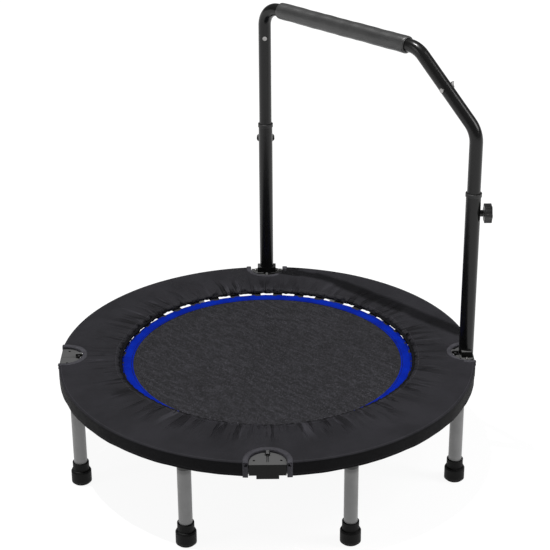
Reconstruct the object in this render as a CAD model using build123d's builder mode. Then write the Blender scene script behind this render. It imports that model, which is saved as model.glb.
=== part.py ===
from build123d import *
import os
from math import atan2, cos, degrees, hypot, radians, sin

os.makedirs("parts", exist_ok=True)

# Mini trampoline on eight legs, folding in half, with an adjustable handrail.
# Millimetres, +Z up. The origin is the ring's centre on the floor. The fold line is the X axis:
# the front half (y < 0) swings up and over onto the rear half (y > 0).

# ------------------------------------------------------------------ driving dimensions
pad_outer_radius = 508.0
pad_inner_radius = 362.0
pad_top = 246.0
pad_thickness = 10.0
pad_edge_round = 3.0
skirt_drop = 36.0
skirt_wall = 3.0
skirt_gap = 4.0  # between the skirt and the frame tube
fold_gap = 0.8  # between the front half and the rear half
fold_axis_lift = 1.0  # the fold's axis above the pad

notch_radius = 44.0
notch_depth = 56.0
notch_clearance = 2.5

frame_tube_diameter = 30.0
frame_tube_wall = 1.5
pad_on_frame = 0.5  # air between the frame tube and the pad

mat_drop = 13.0  # the border's top below the pad's top
mat_radius = 356.0
mat_thickness = 1.0
border_width = 28.0
border_thickness = 1.2
border_seat = 0.2  # the sewn border presses this far into the mat

spring_count = 40
spring_diameter = 10.0
spring_wire = 2.2
spring_eye_radius = 5.5
spring_end_gap = 8.0
spring_tail = 4.5  # length of the spring's tail inside the frame tube
spring_hole_clearance = 0.8
ring_wire = 3.0
ring_base = 34.0
ring_nose = 9.0
ring_length = 20.5
ring_corner = 2.5
ring_offset = 14.5  # the ring's base outside the mat's border
ring_eye_gap = 0.4  # between a ring and the spring's eye
loop_width = 24.0
loop_wall = 1.5
loop_length = 14.5
loop_overlap = 8.25  # of a webbing loop and the mat
loop_bore_length = 30.0

leg_count = 8
leg_diameter = 32.0
leg_wall = 1.5
leg_below_frame = 5.5
spigot_length = 25.0
spigot_wall = 3.0
slide_fit = 0.2  # radial, between two tubes that slip together
foot_floor = 6.0
foot_height = 57.0
foot_bulge_radius = 24.0
foot_bulge_height = 36.0
foot_collar_wall = 3.5
foot_round = 4.0
foot_collar_round = 1.0

plate_thickness = 3.0
plate_below_pad = 6.0
block_half_width = 25.0
block_wall = 2.0
wall_bottom_above_block = 9.0
knuckle_diameter = 11.0
knuckle_length = 4.9
knuckle_gap = 0.3
knuckle_window = 12.4  # width of the opening in the plates round the barrel
knuckle_web = 7.7  # how far a knuckle's web reaches onto its plate
hinge_overhang = 1.0  # of the barrel inside the plates' edge
hinge_pin_diameter = 5.0
pin_fit = 0.1
pin_head = 1.2
lower_knuckle_drop = 0.3  # the unused hinges lie this far under the pad's top
weld_fit = 0.05

upright_offset = 2.0  # the uprights stand this far outside the frame tube's centre line
lower_tube_diameter = 36.0
lower_tube_wall = 1.5
lower_tube_top = 668.0
upper_tube_slide = 0.5  # radial, between the upper tube and the lower tube's bore
upper_tube_wall = 1.5
upper_tube_bottom = 430.0
bush_flange_height = 9.0
bush_flange_wall = 1.5
bush_length = 25.0
bush_fit = 0.05
bush_bore_clearance = 0.2

saddle_plate_length = 73.0
saddle_plate_width = 34.0
saddle_plate_thickness = 3.0
saddle_collar_height = 15.0
saddle_collar_width = 49.0
saddle_collar_depth = 26.0
saddle_fit = 0.1
saddle_screw_span = 60.0
saddle_screw_diameter = 5.0
saddle_screw_head = 9.0
saddle_screw_head_height = 3.0
saddle_screw_end = 1.0
screw_clearance = 0.3

bar_height = 981.0
bar_left_bend = 48.0
bar_right_bend = 60.0
bar_right_corner = 505.8  # along the handrail from the rear upright
diagonal_drop_angle = 41.4
lower_bend = 60.0
left_joint_height = 885.0
right_joint_from_corner = 138.0  # along the diagonal
swage_length = 40.0
swage_fit = 0.15
foam_diameter = 42.5
foam_start = 57.0
foam_end = 477.0
foam_fit = 0.15
foam_round = 2.0

bolt_diameter = 6.0
bolt_from_joint = 17.0
bolt_head_radius = 5.5
bolt_head_height = 3.2
bolt_tail = 9.0
bolt_clearance = 0.3
nut_radius = 5.5
nut_height = 6.0
wing_length = 26.0
wing_height = 9.0
wing_thickness = 2.4

knob_height = 615.0
knob_radius = 23.5
knob_thickness = 18.0
knob_lobes = 6
knob_lobe_radius = 7.0
knob_gap = 1.5  # between the boss and the knob
knob_edge_round = 1.5
boss_radius = 8.0
boss_length = 7.0
clamp_screw_diameter = 8.0
clamp_screw_fit = 0.1
clamp_screw_clearance = 0.3  # between the screw's end and the inner tube
clamp_screw_in_knob = 13.0

# ------------------------------------------------------------------ places that follow
frame_tube_radius = frame_tube_diameter / 2
upper_tube_diameter = lower_tube_diameter - 2 * (lower_tube_wall + upper_tube_slide)
frame_radius = pad_outer_radius - skirt_wall - skirt_gap - frame_tube_radius
frame_z = pad_top - pad_thickness - pad_on_frame - frame_tube_radius
fold_axis_z = pad_top + fold_axis_lift
mat_top = pad_top - mat_drop - border_thickness + border_seat
mat_z = mat_top - mat_thickness  # underside of the mat
notch_centre = pad_outer_radius - notch_depth + notch_radius
plate_top = pad_top - plate_below_pad
plate_bottom = plate_top - plate_thickness
plate_radius = notch_radius - notch_clearance
block_inner = frame_radius - frame_tube_radius - block_wall
block_outer = frame_radius + frame_tube_radius + block_wall + plate_thickness
block_bottom = frame_z - frame_tube_radius - block_wall
knuckle_radius = knuckle_diameter / 2
hinge_start = notch_centre - plate_radius - hinge_overhang
spring_pitch = 360.0 / spring_count
leg_pitch = 360.0 / leg_count
room = 3 * pad_outer_radius  # a size larger than the object, for cutting blocks

ring_start = mat_radius + ring_offset
ring_z = mat_z + mat_thickness / 2
frame_inner = frame_radius - frame_tube_radius
upright_radius = frame_radius + upright_offset
spring_angle = degrees(atan2(ring_z - frame_z, frame_inner - ring_start))
spring_run = hypot(ring_z - frame_z, frame_inner - ring_start)
spring_plane = Plane(
    origin=(ring_start, 0, ring_z),
    x_dir=(cos(radians(spring_angle)), 0, -sin(radians(spring_angle))),
    z_dir=(sin(radians(spring_angle)), 0, cos(radians(spring_angle))),
)


def save(piece, node):
    """Names a finished piece and writes it."""
    piece.part.label = node
    export_step(piece.part, f"parts/{node}.step")
    print(node, round(piece.part.volume))


def turned(angle):
    return Location((0, 0, 0), (0, 0, angle))


# ------------------------------------------------------------------ the two halves of the deck
halves = {"rear": 1, "front": -1}

for half, side in halves.items():
    half_middle = (0, side * (room + fold_gap) / 2, 0)

    # The padded ring, its skirt down over the frame, and its four notches over the hinges.
    with BuildPart() as pad:
        with BuildSketch(Plane.XZ):
            with BuildLine():
                Polyline(
                    (pad_inner_radius, pad_top - pad_thickness),
                    (pad_inner_radius, pad_top),
                    (pad_outer_radius, pad_top),
                    (pad_outer_radius, pad_top - skirt_drop),
                    (pad_outer_radius - skirt_wall, pad_top - skirt_drop),
                    (pad_outer_radius - skirt_wall, pad_top - pad_thickness),
                    close=True,
                )
            make_face()
        revolve(axis=Axis.Z)
        rims = pad.edges().filter_by(GeomType.CIRCLE).group_by(Axis.Z)[-1]
        fillet(rims, pad_edge_round)
        with PolarLocations(0, 4):
            with Locations((notch_centre, 0, pad_top)):
                Cylinder(notch_radius, room, mode=Mode.SUBTRACT)
            with Locations((notch_centre + notch_radius, 0, pad_top)):
                Box(2 * notch_radius, 2 * notch_radius, room, mode=Mode.SUBTRACT)
        with Locations(half_middle):
            Box(room, room, room, mode=Mode.INTERSECT)
    save(pad, f"pad_{half}")

    # The jumping mat, with the webbing loops that hold the rings.
    with BuildPart() as mat:
        with BuildSketch(Plane.XY.offset(mat_z)):
            Circle(mat_radius)
            with PolarLocations(0, spring_count, start_angle=spring_pitch / 2):
                with Locations((mat_radius - loop_overlap + loop_length, 0)):
                    Rectangle(loop_length, loop_width)
        extrude(amount=mat_thickness)
        with BuildSketch(Plane.XY.offset(mat_top - border_seat)):
            Circle(mat_radius)
            Circle(mat_radius - border_width, mode=Mode.SUBTRACT)
        extrude(amount=border_seat, mode=Mode.SUBTRACT)
        with PolarLocations(0, spring_count, start_angle=spring_pitch / 2):
            with Locations(Location((ring_start, 0, ring_z), (90, 0, 0))):
                Cylinder(ring_wire / 2 + bush_fit + loop_wall, loop_width)
        with PolarLocations(0, spring_count, start_angle=spring_pitch / 2):
            with Locations(Location((ring_start, 0, ring_z), (90, 0, 0))):
                Cylinder(ring_wire / 2 + bush_fit, loop_bore_length, mode=Mode.SUBTRACT)
        with Locations(half_middle):
            Box(room, room, room, mode=Mode.INTERSECT)
    save(mat, f"mat_{half}")

    # The woven border sewn round the mat's edge.
    with BuildPart() as border:
        with BuildSketch(Plane.XY.offset(mat_top - border_seat)):
            Circle(mat_radius)
            Circle(mat_radius - border_width, mode=Mode.SUBTRACT)
        extrude(amount=border_thickness)
        with Locations(half_middle):
            Box(room, room, room, mode=Mode.INTERSECT)
    save(border, f"mat_border_{half}")

# ------------------------------------------------------------------ springs and their rings
with BuildPart() as triangle_ring:
    with BuildLine(spring_plane) as ring_path:
        FilletPolyline(
            (0, ring_base / 2),
            (ring_length, ring_nose / 2),
            (ring_length, -ring_nose / 2),
            (0, -ring_base / 2),
            radius=ring_corner,
            close=True,
        )
    ring_foot = Plane(origin=ring_path.line @ 0, z_dir=ring_path.line % 0)
    with BuildSketch(ring_foot):
        Circle(ring_wire / 2)
    sweep()

eye_x = ring_length + spring_eye_radius - spring_wire / 2 - ring_wire / 2 - ring_eye_gap
body_start = eye_x + spring_eye_radius
body_end = spring_run - spring_end_gap

with BuildPart() as spring:
    with BuildSketch(spring_plane):
        with BuildLine():
            Polyline(
                (body_start, 0),
                (body_start, spring_wire / 2),
                (body_start + spring_wire, spring_diameter / 2),
                (body_end - spring_wire, spring_diameter / 2),
                (body_end, spring_wire / 2),
                (spring_run + spring_tail, spring_wire / 2),
                (spring_run + spring_tail, 0),
                close=True,
            )
        make_face()
    revolve(axis=Axis(spring_plane.origin, spring_plane.x_dir))
    eye_centre = spring_plane.from_local_coords((eye_x, 0, 0))
    with Locations(Plane(origin=eye_centre, x_dir=spring_plane.x_dir, z_dir=(0, 1, 0))):
        Torus(spring_eye_radius, spring_wire / 2)

for half, side in halves.items():
    first = spring_pitch / 2 + (0 if side > 0 else 180)
    with BuildPart() as springs:
        with PolarLocations(0, spring_count // 2, start_angle=first, angular_range=180):
            add(spring.part)
    save(springs, f"springs_{half}")
    with BuildPart() as rings:
        with PolarLocations(0, spring_count // 2, start_angle=first, angular_range=180):
            add(triangle_ring.part)
    save(rings, f"triangle_rings_{half}")

# ------------------------------------------------------------------ frame tubes
tube_end_angle = degrees((fold_gap / 2 + block_wall + weld_fit) / frame_inner)
quarters = {"rear_right": 0, "rear_left": 90, "front_left": 180, "front_right": 270}

with BuildPart() as frame_quarter:
    with BuildSketch(Plane.XZ.rotated((0, 0, tube_end_angle))):
        with Locations((frame_radius, frame_z)):
            Circle(frame_tube_radius)
            Circle(frame_tube_radius - frame_tube_wall, mode=Mode.SUBTRACT)
    revolve(axis=Axis.Z, revolution_arc=90 - 2 * tube_end_angle)
    spring_hole = Plane(
        origin=spring_plane.from_local_coords((spring_run, 0, 0)),
        z_dir=spring_plane.x_dir,
    )
    per_quarter = spring_count // 4
    with PolarLocations(0, per_quarter, start_angle=spring_pitch / 2, angular_range=90):
        with Locations(spring_hole):
            Cylinder(
                spring_wire / 2 + spring_hole_clearance,
                4 * frame_tube_wall,
                mode=Mode.SUBTRACT,
            )

for quarter, angle in quarters.items():
    with BuildPart() as frame_tube:
        with Locations(turned(angle)):
            add(frame_quarter.part)
    save(frame_tube, f"frame_tube_{quarter}")

# ------------------------------------------------------------------ legs
leg_top = frame_z - frame_tube_radius - leg_below_frame
leg_bore = leg_diameter / 2 - leg_wall
spigot_radius = leg_bore - slide_fit

# The spigot is welded under the frame tube; its shoulder takes the leg's end.
with BuildPart() as leg_spigot:
    with BuildSketch(Plane.XZ):
        with BuildLine():
            Polyline(
                (spigot_radius - spigot_wall, leg_top - spigot_length),
                (spigot_radius, leg_top - spigot_length),
                (spigot_radius, leg_top),
                (leg_diameter / 2, leg_top),
                (leg_diameter / 2, frame_z - frame_tube_radius / 2),
                (spigot_radius - spigot_wall, frame_z - frame_tube_radius / 2),
                close=True,
            )
        make_face()
    revolve(axis=Axis.Z)
    with BuildSketch(Plane.XZ, mode=Mode.PRIVATE) as tube_disc:
        with Locations((0, frame_z)):
            Circle(frame_tube_radius + weld_fit)
    revolve(
        tube_disc.sketch,
        axis=Axis((-frame_radius, 0, 0), (0, 0, 1)),
        revolution_arc=360,
        mode=Mode.SUBTRACT,
    )

with BuildPart() as leg_tube:
    with BuildSketch(Plane.XY.offset(foot_floor)):
        Circle(leg_diameter / 2)
        Circle(leg_bore, mode=Mode.SUBTRACT)
    extrude(amount=leg_top - foot_floor)

with BuildPart() as rubber_foot:
    collar_radius = leg_diameter / 2 + foot_collar_wall
    with BuildSketch(Plane.XZ):
        with BuildLine():
            Polyline(
                (0, 0),
                (foot_bulge_radius - foot_round, 0),
                (foot_bulge_radius, foot_round),
                (foot_bulge_radius, foot_bulge_height - foot_round),
                (foot_bulge_radius - foot_round / 2, foot_bulge_height),
                (collar_radius, foot_bulge_height + foot_round / 4),
                (collar_radius, foot_height),
                (leg_diameter / 2 + weld_fit, foot_height),
                (leg_diameter / 2 + weld_fit, foot_floor),
                (0, foot_floor),
                close=True,
            )
        make_face()
    revolve(axis=Axis.Z)
    collar_rims = rubber_foot.edges().filter_by(GeomType.CIRCLE).group_by(Axis.Z)[-1]
    fillet(collar_rims, foot_collar_round)

for half, side in halves.items():
    with BuildPart() as leg_spigots:
        first = leg_pitch / 2 + (0 if side > 0 else 180)
        with PolarLocations(0, leg_count // 2, start_angle=first, angular_range=180):
            with Locations((frame_radius, 0, 0)):
                add(leg_spigot.part)
    save(leg_spigots, f"leg_spigots_{half}")

for number in range(leg_count):
    angle = radians(leg_pitch * (number + 0.5))
    foot_point = (frame_radius * cos(angle), frame_radius * sin(angle), 0)
    with BuildPart() as leg:
        with Locations(foot_point):
            add(leg_tube.part)
    save(leg, f"leg_{number + 1}")
    with BuildPart() as foot:
        with Locations(foot_point):
            add(rubber_foot.part)
    save(foot, f"foot_{number + 1}")


# ------------------------------------------------------------------ hinge brackets
def hinge_leaf(side, axis_z, knuckles):
    """A leaf of the hinge at +X, on side +1 or -1 of it; knuckles are its places in the barrel."""
    knuckle_step = knuckle_length + knuckle_gap
    with BuildPart() as leaf:
        with BuildSketch(Plane.XY.offset(plate_bottom)):
            with Locations((notch_centre, 0)):
                Circle(plate_radius)
            with Locations((notch_centre + room / 2, 0)):
                Rectangle(room, 2 * plate_radius)
            with Locations((block_outer + room / 2, 0)):
                Rectangle(room, room, mode=Mode.SUBTRACT)
            with Locations((hinge_start, 0)):
                window_length = 2 * (block_inner - hinge_start)
                Rectangle(window_length, knuckle_window, mode=Mode.SUBTRACT)
        extrude(amount=plate_thickness)
        with BuildSketch(Plane.XY.offset(block_bottom)):
            with Locations(((block_inner + block_outer) / 2, 0)):
                Rectangle(block_outer - block_inner, 2 * block_half_width)
        extrude(amount=plate_bottom - block_bottom)
        with BuildSketch(Plane.XY.offset(plate_bottom)):
            with Locations((block_outer - plate_thickness / 2, 0)):
                Rectangle(plate_thickness, 2 * plate_radius)
        extrude(amount=block_bottom + wall_bottom_above_block - plate_bottom)
        with BuildSketch(Plane.XZ):
            with Locations((frame_radius, frame_z)):
                Circle(frame_tube_radius + weld_fit)
        revolve(axis=Axis.Z, revolution_arc=360, mode=Mode.SUBTRACT)
        end_wall_outer = fold_gap / 2 + block_wall
        block_middle = (block_inner + block_outer) / 2
        with Locations((block_middle, 0, (block_bottom + plate_bottom) / 2)):
            Box(block_outer - block_inner, 2 * end_wall_outer, plate_bottom - block_bottom)
        with Locations((0, side * (room + fold_gap) / 2, 0)):
            Box(room, room, room, mode=Mode.INTERSECT)
        for place in knuckles:
            start = hinge_start + place * knuckle_step
            middle = start + knuckle_length / 2
            web_middle = side * (fold_gap + knuckle_web) / 2
            with Locations((middle, web_middle, (plate_bottom + axis_z) / 2)):
                Box(knuckle_length, knuckle_web, axis_z - plate_bottom)
            with Locations(Location((middle, 0, axis_z), (0, 90, 0))):
                Cylinder(knuckle_radius, knuckle_length)
        with Locations(Location((hinge_start, 0, axis_z), (0, 90, 0))):
            Cylinder(hinge_pin_diameter / 2 + pin_fit, 2 * plate_radius, mode=Mode.SUBTRACT)
        screw_reach = saddle_screw_diameter / 2 + screw_clearance
        with Locations((upright_radius, side * saddle_screw_span / 2, plate_top)):
            Cylinder(screw_reach, 4 * plate_thickness, mode=Mode.SUBTRACT)
    return leaf.part


upper_axis = fold_axis_z
lower_axis = pad_top - lower_knuckle_drop - knuckle_radius
outer_knuckles = [0, 2]
inner_knuckle = [1]
leaves = {
    "hinge_leaf_right_rear": (0, 1, upper_axis, outer_knuckles),
    "hinge_leaf_right_front": (0, -1, upper_axis, inner_knuckle),
    "hinge_leaf_rear_left": (90, 1, lower_axis, outer_knuckles),
    "hinge_leaf_rear_right": (90, -1, lower_axis, inner_knuckle),
    "hinge_leaf_left_front": (180, 1, upper_axis, inner_knuckle),
    "hinge_leaf_left_rear": (180, -1, upper_axis, outer_knuckles),
    "hinge_leaf_front_right": (270, 1, lower_axis, outer_knuckles),
    "hinge_leaf_front_left": (270, -1, lower_axis, inner_knuckle),
}
for node, (angle, side, axis_z, knuckles) in leaves.items():
    blank = hinge_leaf(side, axis_z, knuckles)
    with BuildPart() as leaf:
        with Locations(turned(angle)):
            add(blank)
    save(leaf, node)

barrel_length = 3 * knuckle_length + 2 * knuckle_gap


def hinge_pin(axis_z):
    """A headed pin lying along the radius, through the three knuckles at +X."""
    with BuildPart() as pin:
        with Locations(Location((hinge_start + barrel_length / 2, 0, axis_z), (0, 90, 0))):
            Cylinder(hinge_pin_diameter / 2, barrel_length)
        with Locations(Location((hinge_start - pin_head / 2, 0, axis_z), (0, 90, 0))):
            Cylinder(knuckle_radius - pin_head, pin_head)
    return pin.part


fold_pin = hinge_pin(upper_axis)
spare_pin = hinge_pin(lower_axis)

with BuildPart() as rear_pins:
    with PolarLocations(0, 2):
        add(fold_pin)
    with Locations(turned(90)):
        add(spare_pin)
save(rear_pins, "hinge_pins_rear")

with BuildPart() as front_pin:
    with Locations(turned(270)):
        add(spare_pin)
save(front_pin, "hinge_pin_front")

# ------------------------------------------------------------------ handrail, fixed part
lower_radius = lower_tube_diameter / 2
lower_bore = lower_radius - lower_tube_wall
upper_radius = upper_tube_diameter / 2
upper_bore = upper_radius - upper_tube_wall
saddle_top = plate_top + saddle_plate_thickness
uprights = {"rear": 90, "right": 0}

# The saddle is screwed down on a hinge's plates and holds the upright's foot.
with BuildPart() as saddle_blank:
    with BuildSketch(Plane.XY.offset(plate_top)):
        with Locations((upright_radius, 0)):
            SlotOverall(saddle_plate_length, saddle_plate_width, rotation=90)
    extrude(amount=saddle_plate_thickness)
    with BuildSketch(Plane.XY.offset(saddle_top)):
        with Locations((upright_radius, 0)):
            Rectangle(saddle_collar_depth, saddle_collar_width)
            Circle(lower_radius + saddle_fit, mode=Mode.SUBTRACT)
    extrude(amount=saddle_collar_height)
    screw_reach = saddle_screw_diameter / 2 + weld_fit
    with Locations((upright_radius, 0, saddle_top)):
        with GridLocations(0, saddle_screw_span, 1, 2):
            Cylinder(screw_reach, saddle_screw_span, mode=Mode.SUBTRACT)

with BuildPart() as saddle_screw_pair:
    shank_bottom = plate_bottom - saddle_screw_end
    head_top = saddle_top + saddle_screw_head_height
    with Locations((upright_radius, 0, (shank_bottom + head_top) / 2)):
        with GridLocations(0, saddle_screw_span, 1, 2):
            Cylinder(saddle_screw_diameter / 2, head_top - shank_bottom)
    with Locations((upright_radius, 0, saddle_top + saddle_screw_head_height / 2)):
        with GridLocations(0, saddle_screw_span, 1, 2):
            Cylinder(saddle_screw_head / 2, saddle_screw_head_height)
    head_rims = saddle_screw_pair.edges().filter_by(GeomType.CIRCLE).group_by(Axis.Z)[-1]
    fillet(head_rims, saddle_screw_head_height / 3)

lower_tube_end = lower_tube_top - bush_flange_height
boss_outer = upright_radius + lower_radius + boss_length
knob_inner = boss_outer + knob_gap
screw_inner = upright_radius + upper_radius + clamp_screw_clearance
screw_outer = knob_inner + clamp_screw_in_knob
screw_bore = clamp_screw_diameter / 2 + clamp_screw_fit


def radial(start, end, z):
    """The place of a piece that lies along the radius at +X from start to end."""
    return Location(((start + end) / 2, 0, z), (0, 90, 0))


with BuildPart() as lower_tube_blank:
    with BuildSketch(Plane.XY.offset(saddle_top)):
        with Locations((upright_radius, 0)):
            Circle(lower_radius)
            Circle(lower_bore, mode=Mode.SUBTRACT)
    extrude(amount=lower_tube_end - saddle_top)
    with Locations(radial(upright_radius, boss_outer, knob_height)):
        Cylinder(boss_radius + weld_fit, boss_outer - upright_radius, mode=Mode.SUBTRACT)

with BuildPart() as boss_blank:
    with Locations(radial(upright_radius, boss_outer, knob_height)):
        Cylinder(boss_radius, boss_outer - upright_radius)
        Cylinder(screw_bore, room, mode=Mode.SUBTRACT)
    with Locations((upright_radius, 0, knob_height)):
        Cylinder(lower_bore, room, mode=Mode.SUBTRACT)

# The bush closes the lower tube's mouth and guides the upper tube.
with BuildPart() as bush_ring:
    bush_bore = upper_radius + bush_bore_clearance
    with BuildSketch(Plane.XZ):
        with BuildLine():
            Polyline(
                (bush_bore, lower_tube_end - bush_length),
                (lower_bore - bush_fit, lower_tube_end - bush_length),
                (lower_bore - bush_fit, lower_tube_end),
                (lower_radius + bush_flange_wall, lower_tube_end),
                (lower_radius + bush_flange_wall, lower_tube_top),
                (bush_bore, lower_tube_top),
                close=True,
            )
        make_face()
    revolve(axis=Axis.Z)
    mouth_rims = bush_ring.edges().filter_by(GeomType.CIRCLE).group_by(Axis.Z)[-1]
    fillet(mouth_rims.sort_by(SortBy.LENGTH)[-1], bush_flange_wall)

with BuildPart() as bush_blank:
    with Locations((upright_radius, 0, 0)):
        add(bush_ring.part)

with BuildPart() as clamp_screw_blank:
    with Locations(radial(screw_inner, screw_outer, knob_height)):
        Cylinder(clamp_screw_diameter / 2, screw_outer - screw_inner)

with BuildPart() as knob_blank:
    knob_face = Plane((knob_inner, 0, knob_height), x_dir=(0, 1, 0), z_dir=(1, 0, 0))
    with BuildSketch(knob_face):
        Circle(knob_radius - knob_lobe_radius / 2)
        with PolarLocations(knob_radius - knob_lobe_radius, knob_lobes):
            Circle(knob_lobe_radius)
    extrude(amount=knob_thickness)
    fillet(knob_blank.faces().sort_by(Axis.X)[-1].edges(), knob_edge_round)
    with Locations(radial(knob_inner, screw_outer, knob_height)):
        insert_bore = clamp_screw_diameter / 2 + weld_fit
        Cylinder(insert_bore, screw_outer - knob_inner, mode=Mode.SUBTRACT)

upright_blanks = {
    "saddle": saddle_blank,
    "lower_upright": lower_tube_blank,
    "upright_bush": bush_blank,
    "clamp_screw": clamp_screw_blank,
    "clamp_knob": knob_blank,
}
for upright, angle in uprights.items():
    for name, blank in upright_blanks.items():
        with BuildPart() as upright_piece:
            with Locations(turned(angle)):
                add(blank.part)
        save(upright_piece, f"{name}_{upright}")

# Small pieces that both uprights have share a node.
for name, blank in {"saddle_screws": saddle_screw_pair, "clamp_bosses": boss_blank}.items():
    with BuildPart() as both_uprights:
        for angle in uprights.values():
            with Locations(turned(angle)):
                add(blank.part)
    save(both_uprights, name)

# ------------------------------------------------------------------ handrail, sliding part
# The rail's own plane: x runs along the handrail from the rear upright, y is height.
rail_plane = Plane(origin=(0, upright_radius, 0), x_dir=(1, -1, 0), z_dir=(-1, -1, 0))
rail_span = upright_radius * 2**0.5
drop = radians(diagonal_drop_angle)
diagonal = Vector(cos(drop), -sin(drop))
corner_top = Vector(bar_right_corner, bar_height)
corner_length = (rail_span - bar_right_corner) / cos(drop)
corner_side = corner_top + diagonal * corner_length
right_joint = corner_top + diagonal * right_joint_from_corner
swage_radius = upper_bore - swage_fit


def rail_point(point):
    return rail_plane.from_local_coords((point.X, point.Y, 0))


def across(point):
    """A plane at a point of the rail's plane, square to the diagonal."""
    origin = rail_point(point)
    return Plane(origin=origin, z_dir=rail_point(point + diagonal) - origin)


left_joint = Vector(0, left_joint_height)
left_bolt = left_joint + Vector(0, bolt_from_joint)
right_bolt = right_joint - diagonal * bolt_from_joint
bolt_bore = bolt_diameter / 2 + bolt_clearance
bolts = {
    "rear": Plane(origin=rail_point(left_bolt), z_dir=(0, -1, 0)),
    "right": Plane(origin=rail_point(right_bolt), z_dir=rail_plane.z_dir),
}

with BuildPart() as rear_tube:
    with BuildSketch(Plane.XZ):
        with BuildLine():
            Polyline(
                (upper_bore, upper_tube_bottom),
                (upper_radius, upper_tube_bottom),
                (upper_radius, left_joint_height),
                (swage_radius, left_joint_height),
                (swage_radius, left_joint_height + swage_length),
                (swage_radius - upper_tube_wall, left_joint_height + swage_length),
                (swage_radius - upper_tube_wall, left_joint_height - swage_length / 4),
                (upper_bore, left_joint_height - swage_length / 4),
                close=True,
            )
        make_face()
    revolve(axis=Axis.Z)

with BuildPart() as upper_upright_rear:
    with Locations((0, upright_radius, 0)):
        add(rear_tube.part)
    with Locations(bolts["rear"]):
        Cylinder(bolt_bore, 2 * upper_tube_diameter, mode=Mode.SUBTRACT)
save(upper_upright_rear, "upper_upright_rear")

with BuildPart() as upper_upright_right:
    with BuildLine(rail_plane):
        FilletPolyline(
            (right_joint.X, right_joint.Y),
            (corner_side.X, corner_side.Y),
            (rail_span, upper_tube_bottom),
            radius=lower_bend,
        )
    with BuildSketch(across(right_joint)):
        Circle(upper_radius)
        Circle(upper_bore, mode=Mode.SUBTRACT)
    sweep()
    with BuildSketch(across(right_joint)):
        Circle(swage_radius)
        Circle(swage_radius - upper_tube_wall, mode=Mode.SUBTRACT)
    extrude(amount=-swage_length)
    with BuildSketch(across(right_joint)):
        Circle(upper_radius)
        Circle(swage_radius - upper_tube_wall, mode=Mode.SUBTRACT)
    extrude(amount=swage_length / 4)
    with Locations(bolts["right"]):
        Cylinder(bolt_bore, 2 * upper_tube_diameter, mode=Mode.SUBTRACT)
save(upper_upright_right, "upper_upright_right")

with BuildPart() as top_bar:
    with BuildLine(rail_plane):
        FilletPolyline(
            (0, left_joint_height),
            (0, bar_height),
            (corner_top.X, corner_top.Y),
            (right_joint.X, right_joint.Y),
            radius=[bar_left_bend, bar_right_bend],
        )
    with BuildSketch(Plane(origin=rail_point(left_joint), z_dir=(0, 0, 1))):
        Circle(upper_radius)
        Circle(upper_bore, mode=Mode.SUBTRACT)
    sweep()
    with Locations(*bolts.values()):
        Cylinder(bolt_bore, 2 * upper_tube_diameter, mode=Mode.SUBTRACT)
save(top_bar, "top_bar")

with BuildPart() as foam_grip:
    grip_start = rail_point(Vector(foam_start, bar_height))
    with BuildSketch(Plane(origin=grip_start, z_dir=rail_plane.x_dir)):
        Circle(foam_diameter / 2)
        Circle(upper_radius + foam_fit, mode=Mode.SUBTRACT)
    extrude(amount=foam_end - foam_start)
    outer_rims = foam_grip.edges().filter_by(GeomType.CIRCLE).sort_by(SortBy.LENGTH)[-2:]
    fillet(outer_rims, foam_round)
save(foam_grip, "foam_grip")

bolt_length = upper_tube_diameter + bolt_tail
with BuildPart() as joint_bolts:
    with Locations(*[plane.offset(-bolt_tail / 2) for plane in bolts.values()]):
        Cylinder(bolt_diameter / 2, bolt_length)
    head_middle = upper_radius + bolt_head_height / 2
    with Locations(*[plane.offset(head_middle) for plane in bolts.values()]):
        Cylinder(bolt_head_radius, bolt_head_height)
save(joint_bolts, "joint_bolts")

with BuildPart() as joint_nuts:
    nut_middle = -upper_radius - nut_height / 2
    with Locations(*[plane.offset(nut_middle) for plane in bolts.values()]):
        Cylinder(nut_radius, nut_height)
    with Locations(bolts["right"].offset(-upper_radius - nut_height + wing_thickness / 2)):
        Box(wing_thickness, wing_length, wing_height)
    with Locations(*[plane.offset(-upper_radius) for plane in bolts.values()]):
        thread_bore = bolt_diameter / 2 + weld_fit
        Cylinder(thread_bore, 2 * (bolt_tail + nut_height), mode=Mode.SUBTRACT)
save(joint_nuts, "joint_nuts")
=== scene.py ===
import math

import bmesh
import bpy
import numpy as np
from mathutils import Matrix, Vector


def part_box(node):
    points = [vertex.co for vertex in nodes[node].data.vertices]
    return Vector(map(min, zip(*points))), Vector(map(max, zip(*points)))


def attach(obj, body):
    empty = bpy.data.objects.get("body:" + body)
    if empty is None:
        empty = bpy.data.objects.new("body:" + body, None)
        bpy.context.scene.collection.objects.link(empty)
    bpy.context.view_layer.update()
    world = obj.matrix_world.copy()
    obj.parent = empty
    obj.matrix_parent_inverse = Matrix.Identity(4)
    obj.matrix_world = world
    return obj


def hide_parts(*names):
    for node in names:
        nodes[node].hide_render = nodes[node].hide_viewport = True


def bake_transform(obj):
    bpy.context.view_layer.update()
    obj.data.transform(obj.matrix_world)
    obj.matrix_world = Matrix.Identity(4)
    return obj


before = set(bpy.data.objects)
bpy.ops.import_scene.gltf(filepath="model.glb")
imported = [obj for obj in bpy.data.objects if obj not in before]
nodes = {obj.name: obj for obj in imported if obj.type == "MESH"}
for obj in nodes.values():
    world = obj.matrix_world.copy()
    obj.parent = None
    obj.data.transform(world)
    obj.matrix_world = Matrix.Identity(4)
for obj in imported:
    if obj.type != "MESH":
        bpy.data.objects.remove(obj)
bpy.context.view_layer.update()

# Mini trampoline with a handrail, in metres. The fold line is the X axis at the ring's centre.

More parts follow.
